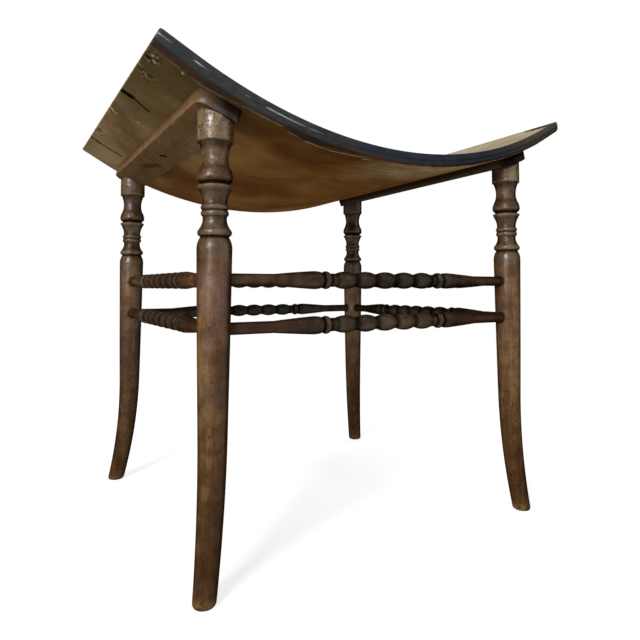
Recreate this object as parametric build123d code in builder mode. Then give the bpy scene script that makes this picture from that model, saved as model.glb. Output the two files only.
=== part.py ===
from build123d import *
import os
from math import asin, atan2, cos, degrees, hypot, radians, sin, sqrt

os.makedirs("parts", exist_ok=True)

# Frame: origin on the floor under the middle of the seat, X along the dish, Y to the back, Z up.

# Seat board
seat_width = 445.0           # from end to end, at the top
seat_depth = 364.0           # from front edge to back edge
seat_thickness = 12.0
dish_radius = 423.0          # curve of the seat's top
dish_height = 363.5          # top of the board at the bottom of the dish, above the floor
edge_face = 5.5              # upright upper part of the front edge
edge_lean = 1.4              # how far the lower part of that edge leans in
bevel_height = 2.2           # worn bevel under the front edge, up the board
bevel_width = 6.0            # and in from the edge
end_flat_length = 30.0       # the last stretch at each end isn't bent
end_thickness = 10.6         # the board thins towards its two ends
end_taper_length = 45.0      # from where it starts to thin to its ends
corner_round = 2.5

# Battens under the seat
batten_width = 37.0
batten_thickness = 11.0
batten_setback = 13.0        # from the seat's front and back edges
batten_outer_round = 12.0
batten_inner_round = 4.0
batten_arris = 1.2
batten_lean = 2.4            # the outer side stands out this far at the seat, and falls back as far

# Legs
leg_inset_x = 52.75          # axis of a leg from the end of the seat
leg_inset_y = 29.25          # and from its front or back edge
drum_radius = 14.6           # plain drum at the head
turning_length = 87.4        # from the foot of the drum to the shoulder of the shaft
shaft_height = 268.5         # shoulder of the shaft above the floor
shaft_radius = 14.1
shaft_belly = 0.36           # how far the taper swells past a straight line
foot_radius = 9.1
foot_round = 3.0
bend_height = 125.0          # where the shaft starts to sweep out
foot_reach = 10.8            # how far the foot of a leg stands out from its head
bent_foot_reach = 16.5       # the same on the back left leg, which is bent further
shaft_sections = 12          # even steps in which the shaft is shaped

# Tenons at the heads of the legs, and their wedges
tenon_radius = 8.0
kerf_depth = 9.0
wedge_thickness = 2.4
wedge_tip = 1.2
fit_clearance = 0.1

# Stretchers
lower_height = 206.3         # axis of the lower rails above the floor
rail_rise = 39.5             # from the lower rails to the upper ones
rail_end_radius = 5.1
rail_neck_radius = 5.6       # between the bobbins
bobbin_radius = 8.0
bobbin_length = 19.6
bobbin_pitch = 22.8
bobbins_each_side = 2        # either side of the middle one
bead_radius = 8.0
bead_length = 6.6
bead_gap = 7.2               # from the last bobbin to the bead
groove_radius = 6.7
groove_length = 1.8
swell_radius = 8.0
swell_nose = 7.8             # from the groove to the fullest place
swell_length = 38.2          # from the fullest place to the plain end
swell_belly = 0.15
socket_stop = 6.5            # a rail's end stops this far from the leg's axis
rail_end_chamfer = 0.8

# Screws
screw_radius = 2.0
screw_head_radius = 4.0
screw_head_height = 2.4
screw_length = 19.0
screw_slot_width = 0.9
screw_slot_depth = 0.9
screw_from_leg = 44.75       # the outer screws, along the batten
screw_sink = 0.6             # heads lie this far below the face of the batten
screws_each_side = 1         # either side of the middle one

overrun = 40.0               # how far cutting shapes reach past the wood

# Places that follow from the sizes above
dish_axis_height = dish_height + dish_radius
under_radius = dish_radius + seat_thickness
bearer_radius = under_radius + batten_thickness
bend_angle = asin(seat_width / 2 / hypot(dish_radius, end_flat_length)) - atan2(end_flat_length, dish_radius)
leg_x = seat_width / 2 - leg_inset_x
leg_y = seat_depth / 2 - leg_inset_y
batten_angle = asin(leg_x / under_radius)
batten_half_angle = asin(batten_width / 2 / under_radius)
lean_angle = batten_lean / under_radius
taper_angle = bend_angle - (end_taper_length - end_flat_length) / under_radius
upper_height = lower_height + rail_rise
screw_step = (leg_y - screw_from_leg) / screws_each_side
drum_foot = shaft_height + turning_length
dish_axis = Axis((0, 0, dish_axis_height), (0, -1, 0))

# The turning between drum and shaft: each row is the middle and the end of one arc, as height
# above the shaft's shoulder over the turning's length, and radius over the drum's radius.
turning_shares = [
    ((0.996, 0.985), (0.990, 0.900)),  # arris of the drum
    ((0.927, 0.776), (0.864, 0.719)),  # cove
    ((0.810, 0.740), (0.760, 0.822)),  # flare of the bulb
    ((0.714, 0.942), (0.675, 0.993)),  # top of the bulb
    ((0.641, 0.955), (0.620, 0.835)),  # underside of the bulb
    ((0.608, 0.795), (0.598, 0.845)),  # groove above the disc
    ((0.592, 0.950), (0.583, 0.985)),  # top of the disc
    ((0.562, 0.905), (0.538, 0.835)),  # underside of the disc
    ((0.500, 0.740), (0.449, 0.682)),  # long cove
    ((0.436, 0.681), (0.423, 0.682)),  # fillet above the beads
    ((0.397, 0.770), (0.369, 0.678)),  # upper bead
    ((0.342, 0.764), (0.312, 0.662)),  # lower bead
    ((0.279, 0.660), (0.240, 0.709)),  # neck
    ((0.217, 0.774), (0.191, 0.877)),  # flare of the ring
    ((0.163, 0.942), (0.128, 0.765)),  # ring
    ((0.088, 0.888), (0.000, shaft_radius / drum_radius)),  # shoulder of the shaft
]


def on_dish(angle, radius):
    """A point of the XZ section, given by its angle and distance about the axis of the dish."""
    return (radius * sin(angle), dish_axis_height - radius * cos(angle))


def at_end(depth):
    """A point of the seat's left end, at some depth below its top."""
    x, z = on_dish(-bend_angle, dish_radius + depth)
    return (x - end_flat_length * cos(bend_angle), z + end_flat_length * sin(bend_angle))


def shaft_radius_at(height):
    """Radius of a leg's shaft: a straight taper with a slight belly."""
    rise = height / shaft_height
    return foot_radius + (shaft_radius - foot_radius) * rise + 4 * shaft_belly * rise * (1 - rise)


def shaft_section(x, y, reach, height):
    """Plane square to a leg's centre line, which sweeps outwards as a parabola."""
    drop = max(0, 1 - height / bend_height)
    out_x = reach * x / sqrt(x**2 + y**2)
    out_y = reach * y / sqrt(x**2 + y**2)
    slope = 2 * drop / bend_height
    return Plane(
        origin=(x + out_x * drop**2, y + out_y * drop**2, height),
        x_dir=(1, 0, out_x * slope),
        z_dir=(-out_x * slope, -out_y * slope, 1),
    )


def screw_plane(side, y):
    """Plane in the face of a batten, facing down and away from the axis of the dish."""
    x, z = on_dish(side * batten_angle, bearer_radius)
    return Plane(
        origin=(x, y, z),
        x_dir=(0, 1, 0),
        z_dir=(side * sin(batten_angle), 0, -cos(batten_angle)),
    )


def screw_places():
    """Side and Y of each screw."""
    steps = range(-screws_each_side, screws_each_side + 1)
    return [(side, step * screw_step) for side in (-1, 1) for step in steps]


# Holes for the screws, through the battens and into the seat
with BuildPart() as screw_holes:
    for side, y in screw_places():
        face = screw_plane(side, y)
        with BuildSketch(face.offset(-screw_sink - screw_length)):
            Circle(screw_radius + fit_clearance)
        extrude(amount=screw_length)
        with BuildSketch(face.offset(-screw_sink - screw_head_height)):
            Circle(screw_radius + fit_clearance)
        with BuildSketch(face.offset(-screw_sink)):
            Circle(screw_head_radius + fit_clearance)
        loft()
        with BuildSketch(face.offset(-screw_sink)):
            Circle(screw_head_radius + fit_clearance)
        extrude(amount=screw_sink + overrun)

# Seat: the section of its edges turned about the axis of the dish, then carried straight on
half_depth = seat_depth / 2
with BuildPart() as seat:
    bend_end = Plane(
        origin=(0, 0, dish_axis_height),
        x_dir=(0, 1, 0),
        z_dir=(cos(bend_angle), 0, -sin(bend_angle)),
    )
    with BuildSketch(bend_end) as edge_section:
        with BuildLine():
            Polyline(
                (-half_depth, -dish_radius),
                (-half_depth, -dish_radius - edge_face),
                (-half_depth + edge_lean, -under_radius + bevel_height),
                (-half_depth + bevel_width, -under_radius),
                (half_depth, -under_radius),
                (half_depth, -dish_radius),
                close=True,
            )
        make_face()
    revolve(axis=dish_axis, revolution_arc=degrees(bend_angle))
    extrude(edge_section.sketch, amount=-end_flat_length)
    with BuildSketch(Plane.XZ):
        with BuildLine():
            Polyline(
                on_dish(-taper_angle, under_radius),
                at_end(end_thickness),
                at_end(end_thickness + overrun),
                on_dish(-taper_angle, under_radius + overrun),
                close=True,
            )
        make_face()
    extrude(amount=seat_depth, both=True, mode=Mode.SUBTRACT)
    mirror(about=Plane.YZ)
    ends = seat.faces().filter_by(lambda face: abs(face.normal_at().X) > cos(radians(45)))
    corners = [edge for face in ends for edge in face.edges() if edge.length < seat_thickness]
    upright = [edge for edge in corners if abs(abs(edge.center().Y) - half_depth) < edge_lean / 2]
    fillet(upright, corner_round)
    add(screw_holes.part, mode=Mode.SUBTRACT)
seat.part.label = "seat"
export_step(seat.part, "parts/seat.step")


def batten(side):
    """A bearer bent to the underside of the seat, bored for two legs and three screws."""
    inner = side * (batten_angle - batten_half_angle)
    middle = side * batten_angle
    outer_top = side * (batten_angle + batten_half_angle + lean_angle)
    outer_foot = side * (batten_angle + batten_half_angle - lean_angle)
    with BuildPart() as bearer:
        with BuildSketch(Plane.XZ):
            with BuildLine():
                for radius, outer in ((under_radius, outer_top), (bearer_radius, outer_foot)):
                    ThreePointArc(
                        on_dish(inner, radius), on_dish(middle, radius), on_dish(outer, radius)
                    )
                Line(on_dish(inner, under_radius), on_dish(inner, bearer_radius))
                Line(on_dish(outer_top, under_radius), on_dish(outer_foot, bearer_radius))
            make_face()
        extrude(amount=half_depth - batten_setback, both=True)
        for outside, rounding in ((True, batten_outer_round), (False, batten_inner_round)):
            corners = [
                edge
                for edge in bearer.edges().filter_by(GeomType.LINE)
                if edge.length < batten_width / 2 and (abs(edge.center().X) > leg_x) == outside
            ]
            fillet(corners, rounding)
        fillet(bearer.faces().sort_by(Axis.Z)[0].edges(), batten_arris)
        with Locations((side * leg_x, -leg_y), (side * leg_x, leg_y)):
            Cylinder(tenon_radius + fit_clearance, 2 * dish_axis_height, mode=Mode.SUBTRACT)
        add(screw_holes.part, mode=Mode.SUBTRACT)
    return bearer.part


def wedge_blank(x, y, gap):
    """A wedge as wide as the tenon, square to the grain of the batten, with a gap round it."""
    growth = (wedge_thickness - wedge_tip) / kerf_depth
    top = wedge_thickness / 2 + growth * tenon_radius / 2 + gap
    tip = wedge_tip / 2 + gap
    tenon_top = on_dish(batten_angle, under_radius)[1]
    with BuildPart() as blank:
        with BuildSketch(Plane(origin=(x, y, tenon_top), x_dir=(0, 1, 0), z_dir=(1, 0, 0))):
            with BuildLine():
                Polyline(
                    (-top, tenon_radius),
                    (-tip, -kerf_depth - gap),
                    (tip, -kerf_depth - gap),
                    (top, tenon_radius),
                    close=True,
                )
            make_face()
        extrude(amount=tenon_radius, both=True)
    return blank.part


def turned_leg(x, y, reach):
    """A leg: sabre foot, tapered shaft, turning, drum and tenon, bored for four rails."""
    inward_x = -x / abs(x)
    inward_y = -y / abs(y)
    stop = socket_stop - fit_clearance
    with BuildPart() as leg:
        for step in range(shaft_sections + 2):
            height = shaft_height * (1 - step / shaft_sections)
            with BuildSketch(shaft_section(x, y, reach, height)):
                Circle(shaft_radius_at(height))
        loft()
        with Locations((x, y, -overrun / 2)):
            Box(8 * drum_radius, 8 * drum_radius, overrun, mode=Mode.SUBTRACT)
        fillet(leg.edges().sort_by(Axis.Z)[0], foot_round)
        with BuildSketch(Plane(origin=(x, y, shaft_height), x_dir=(1, 0, 0), z_dir=(0, -1, 0))):
            with BuildLine():
                top = turning_length + overrun
                Polyline((0, 0), (0, top), (drum_radius, top), (drum_radius, turning_length))
                last = (drum_radius, turning_length)
                for (middle_rise, middle_share), (end_rise, end_share) in turning_shares:
                    middle = (drum_radius * middle_share, turning_length * middle_rise)
                    end = (drum_radius * end_share, turning_length * end_rise)
                    ThreePointArc(last, middle, end)
                    last = end
                Line(last, (0, 0))
            make_face()
        revolve(axis=Axis((x, y, 0), (0, 0, 1)))
        with Locations((0, 0, dish_axis_height)):
            Cylinder(bearer_radius, 2 * seat_depth, rotation=(90, 0, 0), mode=Mode.SUBTRACT)
        with BuildSketch(Plane(origin=(x, y, drum_foot))):
            Circle(tenon_radius)
        extrude(amount=2 * overrun)
        with Locations((0, 0, dish_axis_height)):
            Cylinder(
                under_radius + fit_clearance, 2 * seat_depth, rotation=(90, 0, 0), mode=Mode.SUBTRACT
            )
        add(wedge_blank(x, y, fit_clearance), mode=Mode.SUBTRACT)
        for height in (upper_height, lower_height):
            across = Plane(origin=(x + inward_x * stop, y, height), z_dir=(inward_x, 0, 0))
            along = Plane(origin=(x, y + inward_y * stop, height), z_dir=(0, inward_y, 0))
            for socket in (across, along):
                with BuildSketch(socket):
                    Circle(rail_end_radius + fit_clearance)
                extrude(amount=overrun, mode=Mode.SUBTRACT)
    return leg.part


def bobbin_rail(place, half_span):
    """A rail turned with bobbins, then a bead and a long swelling each way, and plain ends."""
    half = bobbin_length / 2
    last = bobbins_each_side * bobbin_pitch + half
    bead = last + bead_gap
    groove = bead + bead_length
    nose = groove + groove_length
    full = nose + swell_nose
    plain = full + swell_length
    waist = (swell_radius + rail_end_radius) / 2 + swell_belly
    with BuildPart() as rail:
        with BuildSketch(place):
            with BuildLine():
                for step in range(-bobbins_each_side, bobbins_each_side + 1):
                    centre = step * bobbin_pitch
                    ThreePointArc(
                        (centre - half, rail_neck_radius),
                        (centre, bobbin_radius),
                        (centre + half, rail_neck_radius),
                    )
                for step in range(-bobbins_each_side, bobbins_each_side):
                    start = step * bobbin_pitch + half
                    end = (step + 1) * bobbin_pitch - half
                    Line((start, rail_neck_radius), (end, rail_neck_radius))
                for way in (-1, 1):
                    Line((way * last, rail_neck_radius), (way * bead, rail_neck_radius))
                    ThreePointArc(
                        (way * bead, rail_neck_radius),
                        (way * (bead + groove) / 2, bead_radius),
                        (way * groove, groove_radius),
                    )
                    Line((way * groove, groove_radius), (way * nose, groove_radius))
                    TangentArc((way * full, swell_radius), (way * nose, groove_radius), tangent=(-way, 0))
                    ThreePointArc(
                        (way * full, swell_radius),
                        (way * (full + plain) / 2, waist),
                        (way * plain, rail_end_radius),
                    )
                    Polyline(
                        (way * plain, rail_end_radius),
                        (way * (half_span - rail_end_chamfer), rail_end_radius),
                        (way * half_span, rail_end_radius - rail_end_chamfer),
                        (way * half_span, 0),
                        (0, 0),
                    )
            make_face()
        revolve(axis=Axis(place.origin, place.x_dir))
    return rail.part


def keep(solid, name):
    """Label a piece and write it out."""
    solid.label = name
    export_step(solid, f"parts/{name}.step")


for name, side in (("batten_left", -1), ("batten_right", 1)):
    keep(batten(side), name)

for name, side_x, side_y, reach in (
    ("leg_front_left", -1, -1, foot_reach),
    ("leg_front_right", 1, -1, foot_reach),
    ("leg_back_left", -1, 1, bent_foot_reach),
    ("leg_back_right", 1, 1, foot_reach),
):
    keep(turned_leg(side_x * leg_x, side_y * leg_y, reach), name)

for name, x, y in (
    ("stretcher_front", 0, -leg_y),
    ("stretcher_back", 0, leg_y),
    ("stretcher_left", -leg_x, 0),
    ("stretcher_right", leg_x, 0),
):
    for level, height in (("upper", upper_height), ("lower", lower_height)):
        if x:
            place = Plane(origin=(x, y, height), x_dir=(0, 1, 0), z_dir=(1, 0, 0))
            half_span = leg_y - socket_stop
        else:
            place = Plane(origin=(x, y, height), x_dir=(1, 0, 0), z_dir=(0, -1, 0))
            half_span = leg_x - socket_stop
        keep(bobbin_rail(place, half_span), f"{name}_{level}")

# Wedges, driven into the tenons
with BuildPart() as tenon_wedges:
    for x in (-leg_x, leg_x):
        for y in (-leg_y, leg_y):
            add(wedge_blank(x, y, 0))
    with BuildSketch(mode=Mode.PRIVATE) as tenons:
        with GridLocations(2 * leg_x, 2 * leg_y, 2, 2):
            Circle(tenon_radius)
    extrude(tenons.sketch, amount=dish_axis_height, mode=Mode.INTERSECT)
    with Locations((0, 0, dish_axis_height)):
        Cylinder(under_radius + fit_clearance, 2 * seat_depth, rotation=(90, 0, 0), mode=Mode.SUBTRACT)
keep(tenon_wedges.part, "tenon_wedges")

# Screws, with slotted countersunk heads
with BuildPart() as batten_screws:
    for side, y in screw_places():
        face = screw_plane(side, y)
        with BuildSketch(face.offset(-screw_sink - screw_length + fit_clearance)):
            Circle(screw_radius)
        extrude(amount=screw_length - screw_head_height)
        with BuildSketch(face.offset(-screw_sink - screw_head_height)):
            Circle(screw_radius)
        with BuildSketch(face.offset(-screw_sink)):
            Circle(screw_head_radius)
        loft()
        with BuildSketch(face.offset(-screw_sink)):
            Rectangle(2 * screw_head_radius, screw_slot_width)
        extrude(amount=-screw_slot_depth, mode=Mode.SUBTRACT)
keep(batten_screws.part, "batten_screws")
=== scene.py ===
import logging
from dataclasses import dataclass, replace
from enum import Enum
from functools import cached_property, reduce
from operator import add, or_
from typing import Sequence

import bpy
import numpy as np
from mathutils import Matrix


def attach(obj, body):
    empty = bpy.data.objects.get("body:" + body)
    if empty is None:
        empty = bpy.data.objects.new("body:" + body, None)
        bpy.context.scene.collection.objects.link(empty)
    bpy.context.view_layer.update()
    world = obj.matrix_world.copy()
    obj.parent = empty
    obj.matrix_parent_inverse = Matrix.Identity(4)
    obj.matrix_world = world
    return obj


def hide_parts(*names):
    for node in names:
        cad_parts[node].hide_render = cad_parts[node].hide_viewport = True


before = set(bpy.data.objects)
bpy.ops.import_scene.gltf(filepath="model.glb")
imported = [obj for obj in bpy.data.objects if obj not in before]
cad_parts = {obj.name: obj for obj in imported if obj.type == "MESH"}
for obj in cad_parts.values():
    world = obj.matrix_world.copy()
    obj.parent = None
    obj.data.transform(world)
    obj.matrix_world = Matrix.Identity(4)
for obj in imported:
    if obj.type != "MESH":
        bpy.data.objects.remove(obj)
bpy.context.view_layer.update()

LOG = logging.getLogger("stool")
Tone = tuple[float, float, float, float]
Pair = tuple[float, float]
Triple = tuple[float, float, float]
Tones = tuple[Tone, Tone, Tone]
Array = np.ndarray

# The places of the legs and the heights of the rails, which several pieces share.
LEG_X = 0.16975
LEG_Y = 0.15275
RAIL_HEIGHTS = {"upper": 0.2458, "lower": 0.2063}


def tone(red: int, green: int, blue: int) -> Tone:
    """Turns a screen colour of 0 to 255 into the linear colour that a shader wants.

    Args:
        red, green, blue: The screen colour.

    Returns:
        The linear colour with full alpha.
    """
    screen = np.array([red, green, blue]) / 255
    linear = np.where(screen <= 0.04045, screen / 12.92, ((screen + 0.055) / 1.055) ** 2.4)
    return (float(linear[0]), float(linear[1]), float(linear[2]), 1.0)


def tones(*screens: tuple[int, int, int]) -> Tones:
    """Three screen colours as linear ones."""
    return tuple(tone(*screen) for screen in screens)


class Axis(Enum):
    """An axis of the stool, such as the one that the grain of a piece runs along."""

    X = 0
    Y = 1
    Z = 2


class LegBand(Enum):
    """Heights on a leg at which a look starts, is full, begins to go and is gone."""

    # Heights of the painted purple-grey sheen on the upper shaft
    PAINTED_SHEEN = (0.19, 0.225, 0.24, 0.262)
    NECK = (0.255, 0.275, 0.3165, 0.3205)
    BULB = (0.3195, 0.3225, 0.352, 0.356)
    # Heights of the painted highlight on the waist below the drum
    WAIST = (0.334, 0.341, 0.346, 0.3515)


@dataclass(frozen=True)
class Mottle:
    """A fractal noise in cycles a metre, and the range of it that goes from nothing to all."""

    scale: float
    detail: float
    rough: float
    low: float = 0.0
    high: float = 1.0
    bend: float = 0.0


class Field:
    """What comes out of a node. A value adds, subtracts and multiplies as a number does."""

    def __init__(self, graph: "Graph", socket: bpy.types.NodeSocket) -> None:
        """Keeps the socket, and the graph for the nodes that follow."""
        self.graph = graph
        self.socket = socket

    def __add__(self, other: object) -> "Field":
        """The sum."""
        return self.graph.math("ADD", self, other)

    def __sub__(self, other: object) -> "Field":
        """The difference."""
        return self.graph.math("SUBTRACT", self, other)

    def __rsub__(self, other: object) -> "Field":
        """A number less this value."""
        return self.graph.math("SUBTRACT", other, self)

    def __mul__(self, other: object) -> "Field":
        """The product."""
        return self.graph.math("MULTIPLY", self, other)

    def __or__(self, other: object) -> "Field":
        """The greater of the two."""
        return self.graph.math("MAXIMUM", self, other)

    def held(self) -> "Field":
        """Holds a sum or a product between 0 and 1."""
        self.socket.node.use_clamp = True
        return self

    def fit(self, low: float, high: float, out: Pair = (0, 1)) -> "Field":
        """Maps low to high onto the out range, smoothly and held at its ends."""
        inputs = {"Value": self, "From Min": low, "From Max": high, "To Min": out[0], "To Max": out[1]}
        return self.graph.field("MapRange", "Result", inputs, interpolation_type="SMOOTHSTEP")


def weighed(parts: Sequence[Field], weights: Sequence[float]) -> Field:
    """The sum of some values, each times its weight."""
    return reduce(add, [part * weight for part, weight in zip(parts, weights)])


class Graph:
    """A node tree, with short calls for its nodes."""

    def __init__(self, tree: bpy.types.NodeTree) -> None:
        """Starts with an empty tree."""
        self.tree = tree
        self.tree.nodes.clear()

    def feed(self, target: bpy.types.NodeSocket, value: object) -> None:
        """Links a field, or sets a plain value, on a node's input.

        Args:
            target: The input.
            value: The field, number or colour.
        """
        if isinstance(value, Field):
            self.tree.links.new(value.socket, target)
        else:
            target.default_value = value

    def node(self, kind: str, inputs: dict, **settings: object) -> bpy.types.Node:
        """Adds a node.

        Args:
            kind: The node's type, without the word ShaderNode.
            inputs: Fields, numbers or colours, by the inputs' names or numbers.
            settings: The node's other settings, by name.

        Returns:
            The node.
        """
        node = self.tree.nodes.new(f"ShaderNode{kind}")
        for name, value in settings.items():
            setattr(node, name, value)
        for key, value in inputs.items():
            self.feed(node.inputs[key], value)
        return node

    def field(self, kind: str, output: str | int, inputs: dict, **settings: object) -> Field:
        """Adds a node, and gives what comes out of one of its outputs."""
        return Field(self, self.node(kind, inputs, **settings).outputs[output])

    def math(self, kind: str, first: object, second: object) -> Field:
        """One step of arithmetic on fields or numbers."""
        return self.field("Math", 0, {0: first, 1: second}, operation=kind)

    def vector(self, kind: str, output: str | int, inputs: dict) -> Field:
        """One step of arithmetic on vectors."""
        return self.field("VectorMath", output, inputs, operation=kind)

    def seen(self) -> Field:
        """Tells what is looked at from what only lights the object.

        Returns:
            1 for a ray from the camera, a gloss or a clear piece, and 0 for light that bounces.
        """
        path = self.node("LightPath", {})
        names = ("Is Camera Ray", "Is Glossy Ray", "Is Transmission Ray")
        return reduce(or_, [Field(self, path.outputs[name]) for name in names])


class MaterialGraph(Graph):
    """A material's nodes: a Principled shader, and the patterns and marks that feed it."""

    line_core: float = 0.35
    shakes: Mottle = Mottle(160.0, 3.0, 0.5)
    shake_reach: Triple = (0.006, 0.006, 0.0)
    turned_away: Pair = (0.15, 0.5)

    def __init__(self, name: str) -> None:
        """Starts a material with a Principled shader joined to its output.

        Args:
            name: The material's name.
        """
        self.material = bpy.data.materials.new(name)
        self.material.use_nodes = True
        super().__init__(self.material.node_tree)
        self.shader = self.node("BsdfPrincipled", {})
        self.whole = Field(self, self.shader.outputs["BSDF"])
        self.output = self.node("OutputMaterial", {"Surface": self.whole})
        self.place = self.field("TexCoord", "Object", {})

    def set(self, name: str, value: object) -> None:
        """Links a field, or sets a plain value, on the shader."""
        self.feed(self.shader.inputs[name], value)

    def zone(self, axis: Axis, low: float, high: float, out: Pair = (0, 1)) -> Field:
        """What comes in from one place on an axis to another."""
        return self.field("SeparateXYZ", axis.value, {0: self.place}).fit(low, high, out)

    def band(self, heights: LegBand) -> Field:
        """What comes in with height and goes again."""
        start, full, last, gone = heights.value
        return self.zone(Axis.Z, start, full) * self.zone(Axis.Z, gone, last)

    def stretch(self, scale: Sequence[float]) -> Field:
        """Object coordinates, scaled on each axis."""
        return self.field("Mapping", 0, {"Vector": self.place, "Scale": scale})

    def noise(self, vector: Field, look: Mottle, output: str = "Fac") -> Field:
        """Soft fractal noise.

        Args:
            vector: The coordinates.
            look: The noise's scale and character.
            output: Fac for one value from 0 to 1, or Color for three.

        Returns:
            The noise.
        """
        inputs = {"Vector": vector, "Scale": look.scale, "Detail": look.detail}
        inputs |= {"Roughness": look.rough, "Distortion": look.bend}
        return self.field("TexNoise", output, inputs)

    def mottled(self, vector: Field, look: Mottle, out: Pair = (0, 1)) -> Field:
        """Noise, with the range that counts mapped onto the out range."""
        return self.noise(vector, look).fit(look.low, look.high, out)

    def ramp(self, value: Field, tones: Sequence[Tone], places: Sequence[float] = (0.0, 0.5, 1.0)) -> Field:
        """Three colours laid along a value.

        Args:
            value: The value, from 0 to 1.
            tones: The colours.
            places: The values that they belong to, in order.

        Returns:
            The colour.
        """
        node = self.node("ValToRGB", {"Fac": value})
        elements = node.color_ramp.elements
        elements[0].position, elements[0].color = places[0], tones[0]
        elements[1].position, elements[1].color = places[2], tones[2]
        elements.new(places[1]).color = tones[1]
        return Field(self, node.outputs["Color"])

    def blend(self, share: object, first: object, second: object, kind: str = "MIX") -> Field:
        """Mixes two colours, with a share of the second, by a blend type of the Mix node."""
        inputs = {"Factor": share, 6: first, 7: second}
        return self.field("Mix", 2, inputs, data_type="RGBA", blend_type=kind)

    def layers(self, colour: object, rows: Sequence[tuple], kind: str = "MIX") -> Field:
        """Lays colours over a first one, in order.

        Args:
            colour: The first colour.
            rows: The share and colour of each layer.
            kind: The Mix node's blend type.

        Returns:
            The colour on top.
        """
        for share, laid in rows:
            colour = self.blend(share, colour, laid, kind)
        return colour

    def painted(self, name: str) -> Field:
        """A value that the mesh carries at its points."""
        return self.field("Attribute", "Fac", {}, attribute_name=name)

    def gloss(self, shine: Field) -> None:
        """Sets the gloss, dulled where a surface turns edge on, as on old waxed wood."""
        facing = self.field("LayerWeight", "Facing", {})
        self.set("Specular IOR Level", shine * facing.fit(*self.turned_away, (1.0, 0.0)))

    def bump(self, height: Field, depth: float, strength: float) -> None:
        """Gives the shader a relief of some depth in metres."""
        inputs = {"Strength": strength, "Distance": depth, "Height": height}
        self.set("Normal", self.field("Bump", "Normal", inputs))

    def stroke(self, start: Pair, end: Pair, width: float) -> Field:
        """A line across X and Y, 1 on it and fading to 0 at its width.

        The distance to the line is the length of the offset from its start, less the part of
        the offset that runs along it, held between its two ends.

        Args:
            start, end: X and Y of the ends.
            width: Half the line's width.

        Returns:
            The line's mask.
        """
        along = np.append(np.subtract(end, start), 0.0)
        length = float(np.linalg.norm(along))
        offset = self.vector("SUBTRACT", 0, {0: self.flat, 1: (*start, 0)})
        run = self.vector("DOT_PRODUCT", "Value", {0: offset, 1: tuple(along / length**2)})
        foot = self.vector("SCALE", 0, {0: tuple(along), "Scale": (run * 1.0).held()})
        gap = self.vector("DISTANCE", "Value", {0: offset, 1: foot})
        return gap.fit(self.line_core * width, width, (1, 0))

    @cached_property
    def flat(self) -> Field:
        """Object coordinates with Z taken out and a little shake, for marks on the underside."""
        inputs = {0: self.noise(self.place, self.shakes, "Color"), 1: self.shake_reach, 2: self.place}
        return self.vector("MULTIPLY", 0, {0: self.vector("MULTIPLY_ADD", 0, inputs), 1: (1, 1, 0)})


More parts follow.
